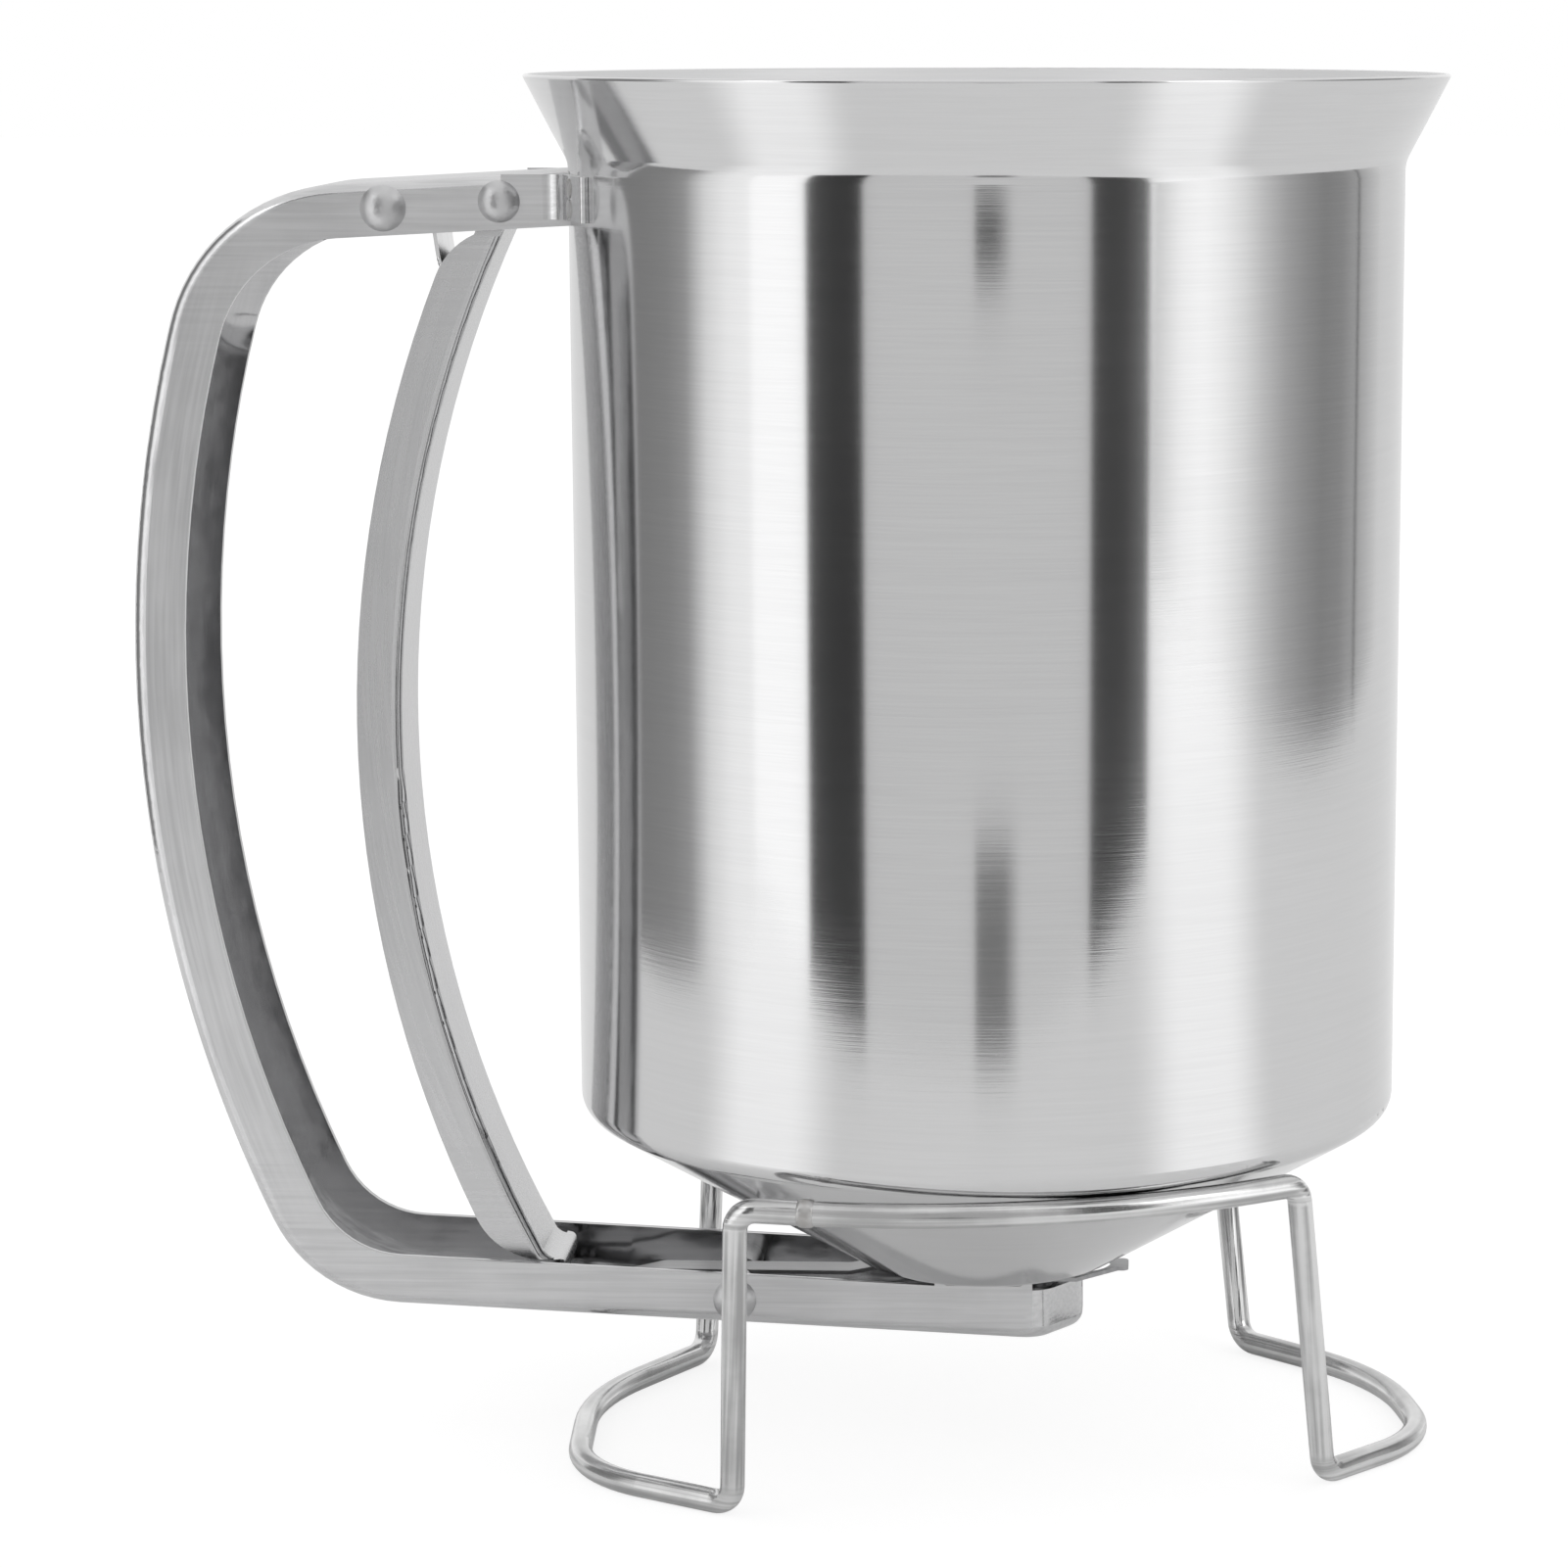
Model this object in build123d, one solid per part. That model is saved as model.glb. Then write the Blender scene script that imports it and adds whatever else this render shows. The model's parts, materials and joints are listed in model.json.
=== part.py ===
"""Pancake batter dispenser: a stainless cup with a trigger handle and a shutter under its
outlet, standing in a bent wire rack. Millimetres, +Z up, cup axis vertical.

Every function builds its piece about the cup's axis with the table at z = 0. The export
shifts the whole object along X, so that its box is centred over the origin.
The handle points along -X and is symmetric about the XZ plane.
"""
from build123d import *
from math import atan, degrees, hypot, radians, sqrt, tan
import os

# ---------------------------------------------------------------- cup
cup_radius = 50.0            # outside radius of the straight wall
rim_radius = 55.35           # outside radius at the plain flared edge
rim_z = 167.95
neck_z = 157.55              # where the flare starts
neck_bend = 4.0
corner_z = 43.2              # where the wall turns into the funnel
corner_bend = 2.5
funnel_slope = 0.6           # rise over run of the funnel
outlet_floor_z = 22.3        # underside of the small flat at the funnel's centre
flat_bend = 4.0
cup_sheet = 0.8
outlet_radius = 4.5
collar_low_z = 21.6          # the outlet's edge is turned down to here

# ---------------------------------------------------------------- handle channel
handle_sheet = 0.9
channel_depth = 6.3          # web face to the free edges of the walls
channel_bend = 1.6           # outside radius along the web's edges
width_top = 22.6             # channel width on the upper arm
width_bottom = 20.4          # channel width on the lower arm
taper_top_z = 130.0
taper_bottom_z = 40.0
taper_blend = 1500.0         # radius that eases the taper into the straight widths
grip_arc = 164.0             # radius of the web along the grip
grip_reach = 102.6           # cup axis to the outermost point of the grip
grip_z = 96.5                # height of that outermost point
upper_bend = 22.0
lower_bend = 18.0
upper_face_z = 159.4         # web face of the upper arm, carried on to the cup's axis
upper_rise = 0.0512          # rise over run towards the cup
lower_face_z = 14.46         # web face of the lower arm at the cup's axis
lower_fall = 0.045           # fall over run towards the cup
arm_end_x = 12.0             # outside of the lower arm's end wall
arm_corner_x = 7.2           # where its two corners start
end_wall_half = 2.6
end_corner_bend = 5.0
end_wall_z = 20.85           # top of the end wall, which carries the shutter's tip
batter_hole_radius = 7.0
seat_half = 6.0              # half length of the raised seats under the cup's flat
flange_end_angle = 25.0      # how far each welding flange reaches round the cup
flange_bend = 3.0
flange_edge_bend = 0.5
flange_stub = 8.0            # length of wall that carries each flange
flange_overlap = 0.1         # how far each flange reaches into that wall
flange_low_z = 151.0
flange_high_z = 156.3
flange_fit = 0.02            # between the flange and the cup's wall
spot_angle = 19.0
spot_radius = 1.15
spot_height = 0.12
spot_inset = 1.45            # spot's centre to the flange's top or bottom edge
bead_radius = 0.9
bead_length = 10.0
bead_out = 0.05              # bead's centre line outside the arm's wall
bead_drop = 0.25             # and below the cup's flat

# ---------------------------------------------------------------- trigger
trigger_width = 13.8
trigger_sheet = 0.8
trigger_arc = 140.6          # radius of the web's outer face
trigger_depth = 5.4
trigger_arc_x = 69.7         # centre of that arc
trigger_arc_z = 89.3
trigger_play = 0.2           # between the trigger's ears and the spacers
pivot_x = -57.2
pivot_z = 153.1
ear_radius = 1.7
wall_top_z = 149.8           # top of the trigger's full-depth walls
wall_corner_bend = 9.0
plates_end_x = -53.4         # where the walls run out on the foot
foot_top_z = 22.9            # top face of the foot flange
trigger_bend = 1.2
foot_bend = 2.0
foot_corner_radius = 2.0
tongue_x = -52.0
tongue_width = 2.6
tongue_bend = 0.85
tongue_low_z = 18.6

# ---------------------------------------------------------------- rivets, all across Y
shank_radius = 1.0
head_height = 1.3
pivot_head_radius = 2.5
spring_rivet_x = -71.0
spring_rivet_z = 152.3
spring_head_radius = 2.75
guide_rivet_x = -30.6
guide_rivet_z = 19.0
guide_head_radius = 2.65
rivet_clearance = 0.05

# ---------------------------------------------------------------- shutter
strip_gauge = 0.5
strip_line = [(-57.5, 18.9), (-46.5, 18.9), (-40.5, 20.3), (-17.0, 20.3), (-12.5, 21.2), (17.7, 21.2)]
strip_bend = 3.0
plate_width = 14.4           # under the outlet
pull_width = 4.0             # over the guide rivet
tail_width = 6.4             # round the trigger's tongue
tail_end_x = -46.5
plate_left_x = -10.5
plate_shoulder_x = 11.4
plate_tip_x = 16.4
tip_width = 4.0
strip_hole_radius = 4.7
strip_travel = 10.8          # how far the hole lies from the outlet when shut
slot_play = 0.8              # of the trigger's tongue in the strip's slot, both ways
guide_radius = 1.8           # tubes on the guide rivet, at each side of the strip
guide_gap = 2.4              # from the middle plane to each tube

# ---------------------------------------------------------------- return spring
spring_gauge = 0.45
spring_width = 11.8
sleeve_radius = 1.55

# ---------------------------------------------------------------- wire stand
# One wire, bent by hand: plan positions of its corners about the cup's axis.
wire_radius = 1.45
front_left = (-26.75, -48.0)
front_right = (37.7, -34.0)
back_right = (28.1, 45.7)
back_left = (-37.3, 36.1)
right_foot = [(41.5, -21.2), (54.9, -6.5), (50.3, 18.0), (32.3, 34.3)]
left_foot = [(-38.0, 26.5), (-50.5, 5.0), (-48.7, -24.4), (-28.6, -35.8)]
bar_reach = 48.5             # cup axis to the nearest part of the front and back bars
bar_turn = 21.5              # slope of each bar's ends against its chord
bar_run = 6.1                # straight run between a bar's arc and its corner
top_bend = 2.8
foot_corner_bend = 3.2
front_bend = 18.0
back_bend = 34.0
weld_share = 0.04            # where the wire's ends meet, as a share of the front arc
weld_gap = 0.5
weld_length = 2.4
bead_proud = 0.2
stand_fit = 0.03             # between a bar and the funnel

cup_x = (grip_reach - rim_radius) / 2


def block(x0, x1, y0, y1, z0, z1):
    """A box between two corners."""
    centre = Pos((x0 + x1) / 2, (y0 + y1) / 2, (z0 + z1) / 2)
    return centre * Box(x1 - x0, y1 - y0, z1 - z0)


def rod(x, z, radius, half_length):
    """A round bar across Y."""
    return Pos(x, 0, z) * Rot(90, 0, 0) * Cylinder(radius, 2 * half_length)


def side_view(face, half_width):
    """Extrude a face drawn in X and Z to both sides of the handle's middle plane."""
    return extrude(Plane.XZ * face, half_width, both=True)


# ---------------------------------------------------------------- cup

def cup_solid(inset):
    """The cup's outside shape shrunk by inset on every side but the top."""
    funnel_shift = inset * hypot(1, funnel_slope)
    flare = (rim_radius - cup_radius) / (rim_z - neck_z)
    flare_shift = inset * hypot(1, flare)
    wall = cup_radius - inset
    floor = outlet_floor_z + inset
    corner = corner_z + funnel_shift - inset * funnel_slope
    flat = wall - (corner - floor) / funnel_slope
    neck = neck_z + (flare_shift - inset) / flare
    path = FilletPolyline(
        (0, floor), (flat, floor), (wall, corner), (wall, neck),
        (rim_radius - flare_shift, rim_z),
        radius=[flat_bend - inset, corner_bend - inset, neck_bend + inset])
    edge = path @ 1
    closing = Polyline(edge, (0, edge.Y), (0, floor))
    return revolve(Plane.XZ * make_face(path.edges() + closing.edges()), Axis.Z)


def cup_shell():
    shell = cup_solid(0) - cup_solid(cup_sheet)
    collar_height = outlet_floor_z + cup_sheet / 2 - collar_low_z
    collar_middle = collar_low_z + collar_height / 2
    shell += Pos(0, 0, collar_middle) * Cylinder(outlet_radius + cup_sheet, collar_height)
    shell -= Pos(0, 0, outlet_floor_z) * Cylinder(outlet_radius, 4 * cup_sheet)
    lip = shell.edges().group_by(Axis.Z)[-1]
    return fillet(lip, cup_sheet / 3)


# ---------------------------------------------------------------- handle channel

def grip_face_x(z):
    """X of the grip's web face at a height."""
    return grip_arc - grip_reach - sqrt(grip_arc ** 2 - (z - grip_z) ** 2)


def handle_side():
    """Everything on the cup's side of the handle's web face."""
    far_x = 40.0
    top_z = 154.2
    low_z = 18.3
    top = (grip_face_x(top_z), top_z)
    low = (grip_face_x(low_z), low_z)
    outline = [
        Line((far_x, upper_face_z + far_x * upper_rise), top),
        ThreePointArc(top, (-grip_reach, grip_z), low),
        Line(low, (far_x, lower_face_z - far_x * lower_fall)),
        Line((far_x, lower_face_z - far_x * lower_fall),
             (far_x, upper_face_z + far_x * upper_rise)),
    ]
    face = make_face(outline)
    left = face.vertices().sort_by(Axis.X)[:2].sort_by(Axis.Y)
    face = fillet(left[1], upper_bend)
    left = face.vertices().filter_by(lambda v: abs(v.Y - low_z) < 0.01)
    return fillet(left, lower_bend)


def handle_envelope(inset):
    """Front view of the channel, wide at the top arm and narrower at the lower one."""
    top = width_top / 2 - inset
    low = width_bottom / 2 - inset
    right = [(low, 0), (low, taper_bottom_z), (top, taper_top_z), (top, rim_z)]
    left = [(-y, z) for y, z in reversed(right)]
    face = make_face(Polyline(right + left, close=True))
    kinks = face.vertices().filter_by(lambda v: 0 < v.Y < rim_z)
    face = fillet(kinks, taper_blend)
    return extrude(Plane.YZ * face, 120, both=True)


def arm_plan(inset):
    """Plan of the lower arm, whose end is closed by a narrow wall between two slanting ones."""
    half = width_bottom / 2
    run = grip_reach + 20
    plan = make_face(Polyline(
        (-run, -2 * half), (-run / 2, -2 * half), (-run / 2, -half), (arm_corner_x, -half),
        (arm_end_x, -end_wall_half), (arm_end_x, end_wall_half), (arm_corner_x, half),
        (-run / 2, half), (-run / 2, 2 * half), (-run, 2 * half), close=True))
    corners = plan.vertices().filter_by(lambda v: v.X > 0)
    plan = fillet(corners, end_corner_bend)
    if inset > 0:
        plan = offset(plan, -inset)
    lower = extrude(plan, grip_z)
    upper = block(-run, -cup_radius / 2, -width_top, width_top, grip_z, rim_z)
    return lower + upper


def edges_on_line(solid, line):
    """The solid's edges that follow a line drawn in X and Z."""
    found = []
    for edge in solid.edges():
        middle = edge @ 0.5
        start = edge @ 0
        end = edge @ 1
        crosses = middle.X < 0 and abs(start.Y - end.Y) > 0.9 * edge.length
        if not crosses and line.distance_to(Vertex(middle.X, middle.Z, 0)) < 0.01:
            found.append(edge)
    return found


def welding_flanges():
    """Two ears that leave the upper arm's walls and follow the cup round, uncut inside."""
    outer = cup_radius + flange_fit + handle_sheet
    inner = cup_radius - handle_sheet
    half = width_top / 2
    far = 2 * outer
    spread = far * tan(radians(flange_end_angle))
    sector = make_face(Polyline((0, 0), (-far, -spread), (-far, spread), close=True))
    plan = (Circle(outer) - Circle(inner)) & sector
    ends = plan.vertices().filter_by(lambda v: hypot(v.X, v.Y) > outer - 0.01)
    plan = fillet(ends, flange_edge_bend)
    plan += Pos(-outer - 2, 0) * Rectangle(flange_stub, 2 * half)
    plan -= Circle(inner)
    plan -= Pos(-outer, 0) * Rectangle(2 * flange_stub, 2 * (half - handle_sheet))
    roots = plan.vertices().filter_by(
        lambda v: abs(abs(v.Y) - half) < 0.01 and hypot(v.X, v.Y) < outer + 0.01)
    plan = fillet(roots, flange_bend)
    plan -= Pos(-outer, 0) * Rectangle(2 * flange_stub, 2 * (half - flange_overlap))
    return extrude(Pos(0, 0, flange_low_z) * plan, flange_high_z - flange_low_z)


def weld_spots():
    """The four spots that hold the flanges to the cup, by name. The near side is -Y."""
    levels = {"low": flange_low_z + spot_inset, "high": flange_high_z - spot_inset}
    length = handle_sheet + spot_height
    peg = Pos(length / 2, 0, 0) * Rot(0, 90, 0) * Cylinder(spot_radius, length)
    spots = {}
    for side, turn in (("near", spot_angle), ("far", -spot_angle)):
        for level, height in levels.items():
            place = Rot(0, 0, 180 + turn) * Pos(cup_radius + flange_fit, 0, height)
            spots[f"spot_weld_{side}_{level}"] = place * peg
    return spots


def handle_channel():
    side = handle_side()
    walls = side - offset(side, -channel_depth)
    channel = side_view(walls, width_top) & handle_envelope(0) & arm_plan(0)
    channel = fillet(edges_on_line(channel, side.face().outer_wire()), channel_bend)
    cavity = side_view(offset(side, -handle_sheet), width_top)
    channel -= cavity & handle_envelope(handle_sheet) & arm_plan(handle_sheet)
    channel += welding_flanges()
    channel += seats()
    channel -= cup_solid(-flange_fit)
    channel -= Cylinder(batter_hole_radius, 2 * collar_low_z - channel_depth)
    for x, z in rivet_places():
        channel -= rivet_hole(x, z)
    for spot in weld_spots().values():
        channel -= spot
    return channel


def seats():
    """What rises above the lower arm's edges: two seats for the cup and the end wall's top."""
    half = width_bottom / 2
    low = end_wall_z - 2
    high = outlet_floor_z + cup_sheet
    near = block(-seat_half, seat_half, -half, handle_sheet - half, low, high)
    far = block(-seat_half, seat_half, half - handle_sheet, half, low, high)
    tip = tip_width / 2
    end = block(arm_end_x - handle_sheet, arm_end_x, -tip, tip, low, end_wall_z)
    return near + far + end


def rivet_places():
    return [(pivot_x, pivot_z), (spring_rivet_x, spring_rivet_z), (guide_rivet_x, guide_rivet_z)]


def arm_weld(channel, side):
    """A bead along one wall of the lower arm, where it carries the cup's flat."""
    middle = Pos(0, side * (width_bottom / 2 + bead_out), outlet_floor_z - bead_drop)
    bead = middle * Rot(0, 90, 0) * Cylinder(bead_radius, bead_length)
    bead = fillet(bead.edges(), bead_radius * 0.7)
    return bead - cup_solid(0) - channel


def rivet_hole(x, z):
    return rod(x, z, shank_radius + rivet_clearance, width_top)


def rivet(x, z, head_radius, half_width):
    """A shank across the channel with a low domed head outside each wall."""
    dome_radius = (head_radius ** 2 + head_height ** 2) / (2 * head_height)
    pin = rod(x, z, shank_radius, half_width + 0.2)
    for side in (-1, 1):
        dome = Pos(x, side * (half_width + head_height - dome_radius), z) * Sphere(dome_radius)
        near = half_width * side
        far = (half_width + 2 * head_height) * side
        room = block(x - 9, x + 9, min(near, far), max(near, far), z - 9, z + 9)
        pin += dome & room
    return pin


def sleeve(x, z, radius, half_length):
    """A tube on a rivet's shank."""
    return rod(x, z, radius, half_length) - rivet_hole(x, z)


def pivot_spacer(side):
    """A tube that holds the trigger in the middle of the wider arm."""
    inner = trigger_width / 2 + trigger_play
    outer = width_top / 2 - handle_sheet
    tube = sleeve(pivot_x, pivot_z, ear_radius, (outer - inner) / 2)
    return Pos(0, side * (outer + inner) / 2, 0) * tube


def guide_spacer(side):
    """A tube that leaves the strip its way over the middle of the guide rivet."""
    outer = width_bottom / 2 - handle_sheet
    tube = sleeve(guide_rivet_x, guide_rivet_z, guide_radius, (outer - guide_gap) / 2)
    return Pos(0, side * (outer + guide_gap) / 2, 0) * tube


# ---------------------------------------------------------------- trigger

def trigger_side():
    """Everything on the grip's side of the trigger's web face, foot and tongue."""
    high = pivot_z + 8
    curl_z = foot_top_z + foot_bend * (1 - (trigger_arc_z - foot_top_z) / trigger_arc)

    def web_x(z):
        return trigger_arc_x - sqrt(trigger_arc ** 2 - (z - trigger_arc_z) ** 2)

    web = ThreePointArc((web_x(high), high), (web_x(trigger_arc_z), trigger_arc_z),
                        (web_x(curl_z), curl_z))
    heading = web % 1
    turn = degrees(atan(abs(heading.Y) / heading.X))
    curl = JernArc(web @ 1, heading, foot_bend, turn)
    end = curl @ 1
    rest = Polyline(end, (tongue_x, end.Y), (tongue_x, 0), (-95, 0), (-95, high), web @ 0)
    face = make_face([web, curl] + rest.edges())
    corner = face.vertices().filter_by(
        lambda v: abs(v.X - tongue_x) < 0.01 and abs(v.Y - end.Y) < 0.01)
    return fillet(corner, tongue_bend)


def wall_plates(side):
    """The trigger's wall drawn in X and Z, with both free corners rounded."""
    height = wall_top_z - foot_top_z
    length = 26
    band = side & Pos(trigger_arc_x, trigger_arc_z) * Circle(trigger_arc + trigger_depth)
    band &= Pos(plates_end_x - length / 2, foot_top_z + height / 2) * Rectangle(length, height)
    corners = band.vertices().filter_by(lambda v: distance_to_arc(v) < 0.05)
    return fillet(corners, wall_corner_bend)


def distance_to_arc(vertex):
    """How far a point drawn in X and Z lies from the free edge of the trigger's wall."""
    radius = hypot(vertex.X - trigger_arc_x, vertex.Y - trigger_arc_z)
    return abs(radius - trigger_arc - trigger_depth)


def ears():
    """Tabs that carry the trigger's walls up to the pivot."""
    ring = Pos(pivot_x, pivot_z) * Circle(ear_radius)
    foot = Polyline((-61.0, wall_top_z - 1), (-57.9, wall_top_z - 1))
    return make_hull(ring.edges() + foot.edges())


def trigger_lever():
    side = trigger_side()
    half = trigger_width / 2
    lever = side_view(wall_plates(side), half)
    lever = fillet(edges_on_line(lever, side.face().outer_wire()), trigger_bend)
    lever -= side_view(offset(side, -trigger_sheet), half - trigger_sheet)
    lever += side_view(ears(), half) - side_view(ears(), half - trigger_sheet)
    sheet = side - offset(side, -trigger_sheet)
    foot_low = foot_top_z - trigger_sheet - tongue_bend
    foot = sheet & Pos(plates_end_x + 5, foot_low + 5) * Rectangle(10, 10)
    lever += side_view(foot, half) - foot_corners()
    reach = foot_low - tongue_low_z
    tongue = sheet & Pos(tongue_x, foot_low - reach / 2) * Rectangle(4, reach)
    lever += side_view(tongue, tongue_width / 2)
    return lever - rivet_hole(pivot_x, pivot_z)


def foot_corners():
    """What is cut off the foot to round its two free corners."""
    half = trigger_width / 2
    radius = foot_corner_radius
    corner = Pos(tongue_x - radius / 2, half - radius / 2) * Rectangle(radius, radius)
    corner -= Pos(tongue_x - radius, half - radius) * Circle(radius)
    corner = corner + mirror(corner, Plane.XZ)
    return extrude(Pos(0, 0, foot_top_z - 2) * corner, 4)


def return_spring():
    """A leaf held over the spring rivet, pressing on the inside of the trigger's web."""
    path = FilletPolyline(
        (-75.5, 153.9), (-66.5, 154.33), (-65.35, 146.0), (-63.05, 138.6), (-64.5, 135.4),
        radius=[1.3, 12.0, 4.0])
    leaf = offset(path, spring_gauge / 2, side=Side.BOTH)
    return side_view(make_face(leaf.edges()), spring_width / 2)


# ---------------------------------------------------------------- shutter

def shutter_plan():
    """Plan of the strip: plate with a pointed end, narrow pull and wider tail."""
    half = plate_width / 2
    pull = pull_width / 2
    tail = tail_width / 2
    tip = tip_width / 2
    left = strip_line[0][0]
    right = strip_line[-1][0]
    edge = [(left, -tail), (tail_end_x, -tail), (tail_end_x, -pull), (plate_left_x, -pull),
            (plate_left_x, -half), (plate_shoulder_x, -half), (plate_tip_x, -tip), (right, -tip)]
    other = [(x, -y) for x, y in reversed(edge)]
    plan = make_face(Polyline(edge + other, close=True))
    plate = plan.vertices().filter_by(lambda v: abs(v.Y) > tail and v.X < 0)
    plan = fillet(plate, plate_width / 4)
    ends = plan.vertices().filter_by(lambda v: v.X < left + 1 or v.X > right - 1)
    plan = fillet(ends, tip_width / 5)
    plan -= Pos(strip_travel, 0) * Circle(strip_hole_radius)
    slot = Rectangle(trigger_sheet + slot_play, tongue_width + slot_play)
    return plan - Pos(tongue_x - trigger_sheet / 2, 0) * slot


def shutter_strip():
    line = FilletPolyline(*strip_line, radius=strip_bend)
    sheet = offset(line, strip_gauge / 2, side=Side.BOTH)
    strip = side_view(make_face(sheet.edges()), plate_width)
    return strip & extrude(shutter_plan(), outlet_floor_z)


# ---------------------------------------------------------------- stand

def bar_height():
    """Height of a bar's centre line, so that the funnel rests on it."""
    funnel_z = corner_z - funnel_slope * (cup_radius - bar_reach)
    return funnel_z - (wire_radius + stand_fit) * hypot(1, funnel_slope)


def bar_arc(start, end):
    """The bowed part of a bar between two top corners, bowed to the right of its run."""
    first = Vector(*start, bar_height())
    last = Vector(*end, bar_height())
    along = (last - first).normalized()
    outward = along.cross(Vector(0, 0, 1))
    lead = along.rotate(Axis.Z, -bar_turn) * bar_run
    trail = along.rotate(Axis.Z, bar_turn) * bar_run
    chord = (last - trail) - (first + lead)
    bow = chord.length / 2 * tan(radians(bar_turn) / 2)
    middle = (first + lead + last - trail) / 2 + outward * bow
    return ThreePointArc(first + lead, middle, last - trail)


def foot_line(start, top, foot, next_top, end):
    """From a bar's arc down one leg, round the foot and up to the other bar's arc."""
    floor = [Vector(x, y, wire_radius) for x, y in foot]
    corners = [Vector(*top, bar_height()), *floor, Vector(*next_top, bar_height())]
    turns = [front_bend, back_bend] if foot is right_foot else [back_bend, front_bend]
    bends = [top_bend, foot_corner_bend, *turns, foot_corner_bend, top_bend]
    return FilletPolyline(start, *corners, end, radius=bends)


def wire_line():
    """The whole line of the wire, from one side of its weld round to the other."""
    front = bar_arc(front_left, front_right)
    back = bar_arc(back_right, back_left)
    right = foot_line(front @ 1, front_right, right_foot, back_right, back @ 0)
    left = foot_line(back @ 1, back_left, left_foot, front_left, front @ 0)
    half_gap = weld_gap / 2 / front.length
    after = front.trim(weld_share + half_gap, 1)
    before = front.trim(0, weld_share - half_gap)
    lines = [after, right, back, left, before]
    return Wire([edge for line in lines for edge in line.edges()])


def stand_wire():
    line = wire_line()
    section = Plane(origin=line @ 0, z_dir=line % 0) * Circle(wire_radius)
    return sweep(section, path=line)


def stand_butt_weld():
    """The bead that closes the wire into a loop."""
    front = bar_arc(front_left, front_right)
    place = Plane(origin=front @ weld_share, z_dir=front % weld_share)
    bead = place * Cylinder(wire_radius + bead_proud, weld_length)
    bead = fillet(bead.edges(), weld_length / 3)
    return bead - stand_wire()


# ---------------------------------------------------------------- the object

def half_width_at(z):
    """Half the channel's width at a height."""
    share = min(max((z - taper_bottom_z) / (taper_top_z - taper_bottom_z), 0), 1)
    return (width_bottom + share * (width_top - width_bottom)) / 2


near = -1
far = 1
channel = handle_channel()
pieces = {
    "cup_shell": cup_shell(),
    "handle_channel": channel,
    "arm_weld_near": arm_weld(channel, near),
    "arm_weld_far": arm_weld(channel, far),
    "pivot_rivet": rivet(pivot_x, pivot_z, pivot_head_radius, half_width_at(pivot_z)),
    "pivot_spacer_near": pivot_spacer(near),
    "pivot_spacer_far": pivot_spacer(far),
    "spring_rivet": rivet(spring_rivet_x, spring_rivet_z, spring_head_radius,
                          half_width_at(spring_rivet_z)),
    "spring_sleeve": sleeve(spring_rivet_x, spring_rivet_z, sleeve_radius,
                            width_top / 2 - handle_sheet),
    "guide_rivet": rivet(guide_rivet_x, guide_rivet_z, guide_head_radius,
                         half_width_at(guide_rivet_z)),
    "guide_spacer_near": guide_spacer(near),
    "guide_spacer_far": guide_spacer(far),
    "return_spring": return_spring(),
    "trigger_lever": trigger_lever(),
    "shutter_strip": shutter_strip(),
    "stand_wire": stand_wire(),
    "stand_butt_weld": stand_butt_weld(),
}
pieces.update(weld_spots())

os.makedirs("parts", exist_ok=True)
for name, piece in pieces.items():
    node = Compound(children=[Pos(cup_x, 0, 0) * solid for solid in piece.solids()])
    export_step(node, f"parts/{name}.step")
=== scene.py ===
"""Looks of the pancake batter dispenser: its metals, the bending spring, studio and camera."""
import json
import math

import bmesh
import bpy
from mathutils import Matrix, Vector


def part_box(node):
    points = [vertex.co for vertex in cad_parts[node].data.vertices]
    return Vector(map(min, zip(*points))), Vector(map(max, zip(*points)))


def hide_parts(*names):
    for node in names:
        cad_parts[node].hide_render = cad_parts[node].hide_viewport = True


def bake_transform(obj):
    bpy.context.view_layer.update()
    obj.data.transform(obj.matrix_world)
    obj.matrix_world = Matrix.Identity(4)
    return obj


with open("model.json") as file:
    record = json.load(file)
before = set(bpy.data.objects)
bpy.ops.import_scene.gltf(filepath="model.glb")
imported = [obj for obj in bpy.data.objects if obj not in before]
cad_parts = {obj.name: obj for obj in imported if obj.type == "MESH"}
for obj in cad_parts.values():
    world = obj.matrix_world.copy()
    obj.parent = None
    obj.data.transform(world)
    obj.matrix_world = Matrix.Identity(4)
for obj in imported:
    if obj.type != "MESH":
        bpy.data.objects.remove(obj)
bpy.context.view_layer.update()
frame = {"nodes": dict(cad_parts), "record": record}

nodes = frame["nodes"]

# Places and sizes on the part, in metres. A centre is its X and Z. A pair of heights or of
# angles is where something begins and where it is complete.
cup_low, cup_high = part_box("cup_shell")
cup_x = (cup_low.x + cup_high.x) / 2
loop_middle = (cup_x - 0.055, 0.090)        # the middle of the handle's loop
grip_centre = (cup_x + 0.0614, 0.0965)      # of the grip's arc
bend_centre = (cup_x - 0.0758, 0.1334)      # of the grip's upper bend
bend_radius = 0.0211                        # of the web's inside there
bend_start = (math.radians(-2), math.radians(20))
bend_end = (math.radians(62), math.radians(82))
wall_spread = 0.25                          # slope of the walls that bending has spread
lower_arm_z = (0.025, 0.045)                # from the lower arm into the grip
upper_arm_z = (0.128, 0.152)                # and from the grip into the upper arm
half_width_low = 0.0102                     # of the handle's channel at the lower arm
half_width_high = 0.0113                    # and at the upper arm
widening_z = (0.040, 0.130)                 # from the one width to the other
handle_sheet = 0.0009                       # thickness
edge_blur = 0.0002                          # how softly the tone of the cut edges ends
sheet_ripple = 0.00018                      # height of the faint waves in stamped sheet
leg_foot_z = (0.003, 0.005)                 # from the stand's feet into its legs
leg_top_z = (0.0375, 0.0390)                # and from its legs into its bars
leg_lean_x = 0.07                           # how the legs lean, run over rise
leg_lean_y = 0.32
leaf_clamp_z = 0.1470                       # the spring follows the handle above this
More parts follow.
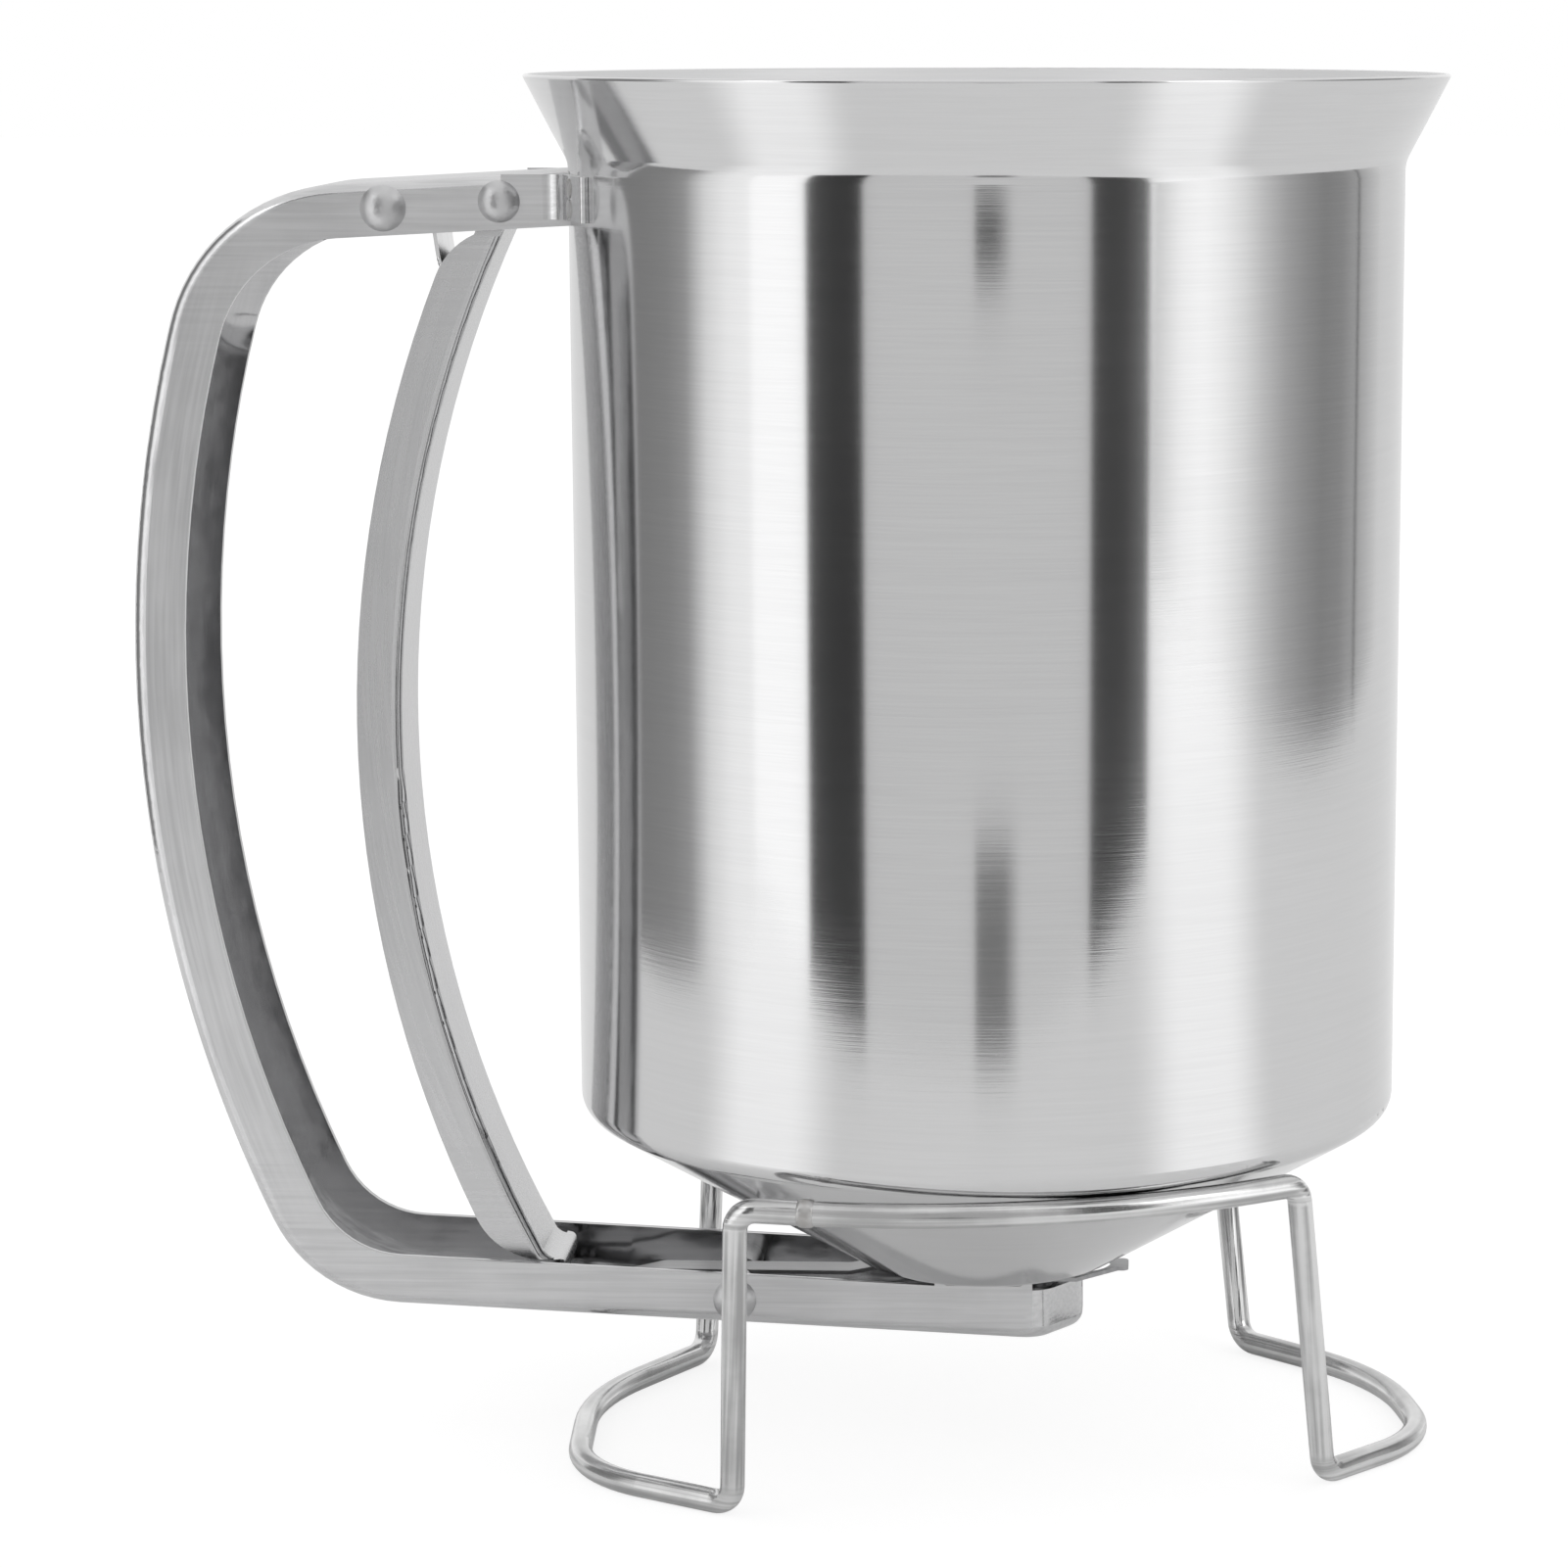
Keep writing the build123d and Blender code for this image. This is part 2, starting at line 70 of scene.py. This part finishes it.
leaf_touch_z = 0.1350                       # and the trigger below this
leaf_strips = 14                            # that the stretch between these two is cut into


# ---------------------------------------------------------------- shader maths

noise_span = (0.3, 0.7)                     # most of a noise lies between these


class Field:
    """A number that varies over a surface. Operators on it add the nodes that work it out."""

    def __init__(self, finish, socket):
        self.finish = finish
        self.socket = socket

    def math(self, operation, *values):
        """The field of a Math node."""
        return self.finish.add("ShaderNodeMath", {"operation": operation}, dict(enumerate(values)))

    def __add__(self, other):
        return self.math("ADD", self, other)

    def __radd__(self, other):
        return self.math("ADD", other, self)

    def __sub__(self, other):
        return self.math("SUBTRACT", self, other)

    def __rsub__(self, other):
        return self.math("SUBTRACT", other, self)

    def __mul__(self, other):
        return self.math("MULTIPLY", self, other)

    def __rmul__(self, other):
        return self.math("MULTIPLY", other, self)

    def __pow__(self, other):
        return self.math("POWER", self, other)

    def size(self):
        """The value without its sign."""
        return self.math("ABSOLUTE", self)

    def angle_from(self, other):
        """The angle in radians whose tangent is this value over the other one."""
        return self.math("ARCTAN2", self, other)

    def fade(self, low, high):
        """0 below low, 1 above high, with a soft step between them."""
        values = {"Value": self, "From Min": low, "From Max": high}
        return self.finish.add("ShaderNodeMapRange", {"interpolation_type": "SMOOTHSTEP"}, values)


def hypot(across, along):
    """How far two fields at right angles reach together."""
    return (across * across + along * along) ** 0.5


class Finish:
    """One material, with its surface shader and the nodes that feed it."""

    def __init__(self, name, shader="ShaderNodeBsdfPrincipled"):
        self.material = bpy.data.materials.new(name)
        self.material.use_nodes = True
        self.tree = self.material.node_tree
        self.tree.nodes.clear()
        output = self.tree.nodes.new("ShaderNodeOutputMaterial")
        self.shader = self.tree.nodes.new(shader)
        self.tree.links.new(self.shader.outputs[0], output.inputs["Surface"])

    def plug(self, node, sockets):
        """Links the sockets of a node to fields, or sets them to plain values."""
        for socket, value in sockets.items():
            if isinstance(value, Field):
                self.tree.links.new(value.socket, node.inputs[socket])
            else:
                node.inputs[socket].default_value = value

    def add(self, kind, settings=(), sockets=(), output=0):
        """A node with its settings and its sockets, as the field of one of its outputs."""
        node = self.tree.nodes.new(kind)
        for setting, value in dict(settings).items():
            setattr(node, setting, value)
        self.plug(node, dict(sockets))
        return Field(self, node.outputs[output])

    def surface(self, **sockets):
        """Sets the shader's own sockets: Base_Color stands for Base Color."""
        self.plug(self.shader, {name.replace("_", " "): value for name, value in sockets.items()})

    def split(self, vector):
        """X, Y and Z of a vector."""
        part = self.add("ShaderNodeSeparateXYZ", sockets={"Vector": vector})
        return [Field(self, output) for output in part.socket.node.outputs]

    def place(self):
        """X, Y and Z of the point in metres."""
        return self.split(self.add("ShaderNodeTexCoord", output="Object"))

    def facing(self, kind="Normal"):
        """X, Y and Z of the direction that the surface faces."""
        return self.split(self.add("ShaderNodeNewGeometry", output=kind))

    def noise(self, place, fineness, detail=2.0, roughness=0.5):
        """Noise from 0 to 1 with its middle near 0.5. Its fineness is how many grains a metre
        has along each of the place's three parts."""
        x, y, z = (part * grains for part, grains in zip(place, fineness))
        vector = self.add("ShaderNodeCombineXYZ", sockets={"X": x, "Y": y, "Z": z})
        sockets = {"Vector": vector, "Scale": 1.0, "Detail": detail, "Roughness": roughness}
        return self.add("ShaderNodeTexNoise", sockets=sockets, output="Fac")

    def tint(self, amount, dark, light):
        """A colour between two, by a field from 0 to 1."""
        sockets = {0: amount, 6: (*dark, 1.0), 7: (*light, 1.0)}
        return self.add("ShaderNodeMix", {"data_type": "RGBA"}, sockets, 2)

    def bump(self, relief, height):
        """The normal of a relief, which stands the height proud where the relief is 1."""
        sockets = {"Height": relief, "Distance": height}
        return self.add("ShaderNodeBump", sockets=sockets, output="Normal")


# ---------------------------------------------------------------- metals

def polished_steel():
    """The cup: polished over fine lines drawn round its axis, with a few faint smears.
    Its inside is only brushed."""
    steel = Finish("polished_steel")
    place = steel.place()
    x, y, z = place
    normal_x, normal_y, normal_z = steel.facing()
    inward = normal_x * (cup_x - x) - normal_y * y
    inside = inward.fade(0.0, 0.004) * normal_z.fade(-0.1, 0.0)
    lines = steel.noise(place, (90, 90, 6000), roughness=0.6)
    streaks = steel.noise(place, (30, 30, 1500))
    smears = steel.noise(place, (24, 24, 24), detail=4.0, roughness=0.6)
    tone = lines * 0.45 + streaks * 0.25 + smears * 0.30
    steel.surface(
        Base_Color=steel.tint(tone.fade(*noise_span), (0.600, 0.600, 0.603), (0.640, 0.640, 0.643)),
        Metallic=1.0,
        Roughness=0.065 + lines * 0.03 + smears * 0.05 + inside * 0.28,
        Normal=steel.bump(lines + streaks, 0.000002))
    return steel


def brushed_lines(steel, place):
    """Fine lines along the handle's bent band: round the grip's arc, and along both arms."""
    x, y, z = place
    grip = hypot(x - grip_centre[0], z - grip_centre[1])
    arm = z.fade(*upper_arm_z) + (1.0 - z.fade(*lower_arm_z))
    on_grip = steel.noise((grip, y, z), (2200, 2200, 60), detail=4.0)
    on_arm = steel.noise(place, (60, 2200, 2200), detail=4.0)
    return on_grip * (1.0 - arm) + on_arm * arm


def sheet_marks(steel, place):
    """Brushed lines, smears and faint waves of the sheet that handle and trigger are made of,
    and the grain that the first two make together."""
    lines = brushed_lines(steel, place)
    smears = steel.noise(place, (60, 60, 60), detail=4.0, roughness=0.6)
    ripple = steel.noise(place, (55, 90, 55), detail=1.0)
    grain = (lines * 0.6 + smears * 0.4).fade(*noise_span)
    return lines, smears, ripple, grain


def satin(steel, least, lines, smears):
    """Roughness of the brushed sheet, less on the bends between web and walls, which rubbing
    has left smoother."""
    across = steel.facing()[1].size()
    rubbed_bend = across.fade(0.1, 0.3) * (1.0 - across.fade(0.9, 0.98))
    return (least + lines * 0.08 + smears * 0.06) * (1.0 - rubbed_bend * 0.7)


def satin_steel():
    """The trigger: brushed along the sheet."""
    steel = Finish("satin_steel")
    lines, smears, ripple, grain = sheet_marks(steel, steel.place())
    steel.surface(
        Base_Color=steel.tint(grain, (0.53, 0.53, 0.535), (0.60, 0.60, 0.605)),
        Metallic=1.0,
        Roughness=satin(steel, 0.20, lines, smears),
        Normal=steel.bump(lines * 0.015 + ripple, sheet_ripple))
    return steel


def spread_walls(x, z):
    """How far bending has spread the walls at the upper bend, in metres: the more, the further
    they stand from the web."""
    out = bend_centre[0] - x
    up = z - bend_centre[1]
    angle = up.angle_from(out)
    bent = angle.fade(*bend_start) * (1.0 - angle.fade(*bend_end))
    return (bend_radius - hypot(out, up)) * bent * wall_spread


def handle_steel():
    """The handle: satin outside, darker cut edges, smooth and rippled rolled sheet inside."""
    steel = Finish("handle_steel")
    place = steel.place()
    x, y, z = place
    # How far a face looks towards the loop's middle: well under 0 on the web's outside, about 0
    # on the walls, and over 0 on the web's inside and on the walls' cut edges.
    normal_x, _, normal_z = steel.facing("True Normal")
    inward = normal_x * (loop_middle[0] - x) + normal_z * (loop_middle[1] - z)
    off_web_outside = inward.fade(-0.012, -0.006)
    towards_loop = inward.fade(0.010, 0.030)
    # How deep a point lies under the outside of the nearer wall.
    widening = (half_width_high - half_width_low) * z.fade(*widening_z)
    depth = half_width_low + widening - y.size()
    inside = depth.fade(handle_sheet / 3, handle_sheet * 2 / 3) * off_web_outside
    outside = 1.0 - inside
    edge = towards_loop * (1.0 - depth.fade(handle_sheet, handle_sheet + edge_blur))
    lines, smears, ripple, grain = sheet_marks(steel, place)
    rolled = steel.noise(place, (130, 260, 130))
    spread = spread_walls(x, z) * (1.0 / sheet_ripple)
    tone = outside * (0.45 + grain * 0.5) * (1.0 - edge * 0.6) + inside * (0.30 + grain * 0.3)
    relief = outside * (lines * 0.03 + ripple) + inside * (rolled * 0.8 - spread)
    steel.surface(
        Base_Color=steel.tint(tone, (0.42, 0.42, 0.425), (0.66, 0.66, 0.665)),
        Metallic=1.0,
        Roughness=outside * satin(steel, 0.34, lines, smears) + inside * (0.09 + smears * 0.06),
        Normal=steel.bump(relief, sheet_ripple))
    return steel


def shutter_steel():
    """The shutter: cold rolled strip, darker than the handle and unpolished."""
    steel = Finish("shutter_steel")
    place = steel.place()
    lines = steel.noise(place, (40, 2600, 200), detail=3.0)
    smears = steel.noise(place, (90, 90, 90), detail=4.0, roughness=0.6)
    tone = lines * 0.5 + smears * 0.5
    steel.surface(
        Base_Color=steel.tint(tone.fade(*noise_span), (0.30, 0.30, 0.305), (0.40, 0.40, 0.405)),
        Metallic=1.0,
        Roughness=0.26 + lines * 0.08 + smears * 0.08,
        Normal=steel.bump(lines * 0.1 + smears, 0.00003))
    return steel


def weld_steel():
    """Weld metal: dull, grained and a little darker."""
    steel = Finish("weld_steel")
    place = steel.place()
    grain = steel.noise(place, (2200, 2200, 2200), detail=3.0)
    patches = steel.noise(place, (500, 500, 500))
    steel.surface(
        Base_Color=steel.tint(patches.fade(*noise_span), (0.40, 0.39, 0.38), (0.56, 0.56, 0.56)),
        Metallic=1.0,
        Roughness=0.28 + grain * 0.2,
        Normal=steel.bump(grain, 0.00008))
    return steel


def rivet_steel():
    """Rivets and tubes: tumbled to a soft satin, with small scuffs."""
    steel = Finish("rivet_steel")
    place = steel.place()
    scuffs = steel.noise(place, (900, 900, 900), detail=4.0, roughness=0.7)
    patches = steel.noise(place, (250, 250, 250))
    steel.surface(
        Base_Color=steel.tint(patches.fade(*noise_span), (0.44, 0.44, 0.445), (0.56, 0.56, 0.565)),
        Metallic=1.0,
        Roughness=0.26 + scuffs * 0.18,
        Normal=steel.bump(scuffs, 0.00006))
    return steel


def spring_steel():
    """The leaf: bright strip rolled along its length."""
    steel = Finish("spring_steel")
    lines = steel.noise(steel.place(), (80, 3000, 80), detail=3.0)
    steel.surface(
        Base_Color=steel.tint(lines.fade(*noise_span), (0.56, 0.56, 0.565), (0.68, 0.68, 0.685)),
        Metallic=1.0,
        Roughness=0.12 + lines * 0.12,
        Normal=steel.bump(lines, 0.00001))
    return steel


def wire_steel():
    """The stand's wire: drawn lines along it, and faint marks from the bending tool."""
    steel = Finish("wire_steel")
    place = steel.place()
    x, y, z = place
    marks = steel.noise(place, (160, 160, 160), detail=3.0, roughness=0.6)
    leg = z.fade(*leg_foot_z) * (1.0 - z.fade(*leg_top_z))
    leg_x = (x - cup_x).size() + z * leg_lean_x
    leg_y = y.size() - z * leg_lean_y
    on_leg = steel.noise((leg_x, leg_y, z), (1300, 1300, 20))
    on_bar = steel.noise(place, (25, 25, 1300))
    lines = on_leg * leg + on_bar * (1.0 - leg)
    tone = marks * 0.2 + lines * 0.8
    steel.surface(
        Base_Color=steel.tint(tone.fade(0.35, 0.62), (0.42, 0.42, 0.42), (0.74, 0.74, 0.74)),
        Metallic=1.0,
        Roughness=0.12 + lines * 0.08 + marks * 0.05,
        Normal=steel.bump(lines + marks * 0.2, 0.00016))
    return steel


metals = {
    "polished_steel": polished_steel(),
    "satin_steel": satin_steel(),
    "weld_steel": weld_steel(),
    "rivet_steel": rivet_steel(),
    "spring_steel": spring_steel(),
    "wire_steel": wire_steel(),
}
node_metals = {"handle_channel": handle_steel(), "shutter_strip": shutter_steel()}


def dress_nodes():
    """Gives every node of the frame its own metal, or else that of its slot."""
    for part in frame["record"]["subparts"]:
        mesh = nodes[part["node"]].data
        mesh.materials.clear()
        metal = node_metals.get(part["node"], metals[part["material_slot"]])
        mesh.materials.append(metal.material)


# ---------------------------------------------------------------- objects

def add_object(name, data):
    """A new object in the scene, at the origin."""
    item = bpy.data.objects.new(name, data)
    bpy.context.scene.collection.objects.link(item)
    return item


def add_shape(name, shape, finish):
    """A new object from a bmesh, which this frees, in one finish."""
    mesh = bpy.data.meshes.new(name)
    shape.to_mesh(mesh)
    shape.free()
    mesh.materials.append(finish.material)
    return add_object(name, mesh)


# ---------------------------------------------------------------- return spring

def bending_leaf():
    """The return spring, cut into strips across the stretch between handle and trigger."""
    leaf = bmesh.new()
    leaf.from_mesh(nodes["return_spring"].data)
    bmesh.ops.remove_doubles(leaf, verts=leaf.verts, dist=1e-6)
    for cut in range(1, leaf_strips):
        height = leaf_touch_z + (leaf_clamp_z - leaf_touch_z) * cut / leaf_strips
        bmesh.ops.bisect_plane(
            leaf, geom=leaf.verts[:] + leaf.edges[:] + leaf.faces[:], dist=1e-7,
            plane_co=(0, 0, height), plane_no=(0, 0, 1))
    piece = add_shape("bending_leaf", leaf, metals["spring_steel"])
    piece.data.shade_smooth()
    piece.data.set_sharp_from_angle(angle=math.radians(40))
    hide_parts("return_spring")
    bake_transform(piece)


# ---------------------------------------------------------------- studio

# Lengths are in metres. A bearing is the way that something lies from the cup's axis: 0 is
# towards the camera, and it grows anticlockwise seen from above. Those of the cards and their
# walls are in degrees.
camera_turn = math.radians(2.35)
card_foot_z = 0.0005
card_top_z = 0.40
front_wall = -11.4
right_wall = 96
# The floor's pools of light are painted: extra glow that only glossy rays see, not light from the
# lamps.
painted_pool_bearing = math.radians(57.5)           # of each painted pool of light on the floor, one each side, before a lamp
painted_pool_edge = (math.radians(6), math.radians(22))
painted_pool_start = (0.10, 0.20)                   # from the cup's axis
painted_pool_gain = 2.9
floor_white = 0.72                          # share of even white in the floor that is seen
floor_mirrored_white = 0.12                 # and in the floor that metal mirrors
floor_glow = 1.15                           # strength of that white, where 1 looks white


def floor_finish():
    """Pale floor: seen as white, still shaded under the object, and mirrored nearly white,
    with a painted pool of light before each lamp, which only the metal's reflections show."""
    finish = Finish("pale_floor", "ShaderNodeMixShader")
    camera_ray = finish.add("ShaderNodeLightPath", output="Is Camera Ray")
    glossy_ray = finish.add("ShaderNodeLightPath", output="Is Glossy Ray")
    transmission_ray = finish.add("ShaderNodeLightPath", output="Is Transmission Ray")
    x, y, _ = finish.place()
    across = x - cup_x
    bearing = across.angle_from(0.0 - y) - camera_turn
    off_painted_pool = (bearing.size() - painted_pool_bearing).size()
    painted_pool = (1.0 - off_painted_pool.fade(*painted_pool_edge)) * hypot(across, y).fade(*painted_pool_start)
    white_share = (camera_ray + transmission_ray) * floor_white + glossy_ray * floor_mirrored_white
    matt = finish.add("ShaderNodeBsdfDiffuse", sockets={"Color": (0.8, 0.8, 0.8, 1.0)})
    # Painted light: the painted pools add glow to the floor that only glossy rays see.
    glow = 1.0 + painted_pool * glossy_ray * painted_pool_gain
    white = finish.add("ShaderNodeEmission", sockets={"Color": glow, "Strength": floor_glow})
    finish.plug(finish.shader, {0: white_share, 1: matt, 2: white})
    return finish


def floor():
    """A wide round floor."""
    shape = bmesh.new()
    bmesh.ops.create_circle(shape, cap_ends=True, radius=6.0, segments=96)
    sheet = add_shape("pale_floor", shape, floor_finish())


def card_finish():
    """Glows as strongly as the card's own light attribute says."""
    finish = Finish("glowing_card", "ShaderNodeEmission")
    light = finish.add("ShaderNodeAttribute", {"attribute_name": "light"}, output="Color")
    finish.surface(Color=light, Strength=1.0)
    return finish


def on_wall(bearing, wall_bearing, wall_distance, height):
    """Where a bearing meets an upright wall, which is nearest to the cup at its own bearing."""
    reach = wall_distance / math.cos(math.radians(bearing - wall_bearing))
    turn = math.radians(bearing) + camera_turn
    return (cup_x + reach * math.sin(turn), -reach * math.cos(turn), height)


def card(name, finish, wall_bearing, wall_distance, levels, foot=card_foot_z, top=card_top_z):
    """An upright card on a wall, which only the metal's reflections show. Its light changes
    evenly between the bearings in levels, each a bearing and a light."""
    shape = bmesh.new()
    light = shape.verts.layers.float_color.new("light")
    low, high = [], []
    for bearing, level in levels:
        for row, z in ((low, foot), (high, top)):
            corner = shape.verts.new(on_wall(bearing, wall_bearing, wall_distance, z))
            corner[light] = (level, level, level, 1.0)
            row.append(corner)
    for i in range(len(levels) - 1):
        shape.faces.new((low[i], low[i + 1], high[i + 1], high[i]))
    sheet = add_shape(name, shape, finish)
    sheet.visible_camera = False
    sheet.visible_diffuse = False
    sheet.visible_transmission = False
    sheet.visible_shadow = False


def cards():
    """Dark, grey and white cards round the cup, and two small dark ones in front of it."""
    finish = card_finish()
    card("left_grey_card", finish, -90, 0.34, [
        (-112, 0.27), (-98, 0.30), (-90, 0.33), (-83, 0.42), (-76, 1.00), (-69, 1.25), (-62, 1.30)])
    card("left_white_card", finish, front_wall, 0.300, [(-64, 1.5), (-46, 1.5)])
    card("left_dark_card", finish, front_wall, 0.296, [(-46, 0.07), (-30.5, 0.045)])
    card("front_card", finish, front_wall, 0.297, [(-30.5, 0.79), (26, 0.79)])
    card("right_dark_card", finish, front_wall, 0.296, [(26, 0.07), (35, 0.08), (42, 0.20)])
    card("right_card", finish, right_wall, 0.60, [
        (44, 0.85), (48, 1.10), (52, 1.32), (58, 1.42), (64, 1.30), (71, 1.04), (77, 0.78),
        (85, 0.53), (92, 0.41), (100, 0.32), (109, 0.36), (120, 0.58), (133, 0.85)])
    card("lamp_stand", finish, right_wall, 0.598, [(117, 0.03), (118, 0.03)])
    card("tripod_card", finish, 0, 0.30, [
        (-8, 0.72), (-3.5, 0.24), (4.5, 0.24), (8, 0.72)], top=0.037)
    card("lens_card", finish, 0, 0.30, [
        (-7, 0.77), (-4.5, 0.30), (-2.5, 0.02), (2, 0.02), (4, 0.30), (6.5, 0.77)],
        foot=0.1330, top=0.1460)


def lamp(name, place, aim, size, radiance):
    """A rectangular soft lamp; radiance 1 looks white."""
    light = bpy.data.lights.new(name, "AREA")
    light.shape = "RECTANGLE"
    light.size, light.size_y = size
    light.energy = radiance * math.pi * size[0] * size[1]
    rig = add_object(name, light)
    rig.location = place
    rig.rotation_euler = (Vector(aim) - Vector(place)).to_track_quat("-Z", "Y").to_euler()


def studio():
    """A white world, two soft lamps left and right of the camera, the floor and the cards."""
    world = bpy.data.worlds.new("studio")
    world.use_nodes = True
    background = world.node_tree.nodes["Background"]
    background.inputs["Color"].default_value = (1.0, 1.0, 1.0, 1.0)
    background.inputs["Strength"].default_value = 1.0
    bpy.context.scene.world = world
    cup_middle = (cup_x, 0, 0.09)
    lamp("left_lamp", (-0.75, -0.55, 0.45), cup_middle, (0.30, 0.9), 1.6)
    lamp("right_lamp", (0.85, -0.55, 0.45), cup_middle, (0.40, 0.9), 1.5)
    floor()
    cards()


def camera():
    """A long lens just above the rim's height, looking slightly down."""
    lens = bpy.data.cameras.new("camera")
    lens.sensor_width = 36.0
    lens.lens = 104.55
    lens.shift_x = -0.1293
    lens.clip_start = 0.01
    lens.clip_end = 50.0
    eye = add_object("camera", lens)
    eye.location = (0.046195, -0.5500, 0.1753)
    eye.rotation_euler = (math.radians(80.3637), 0.0, camera_turn)
    bpy.context.scene.camera = eye


dress_nodes()
bending_leaf()
studio()
camera()
bpy.context.scene.view_settings.view_transform = "Standard"
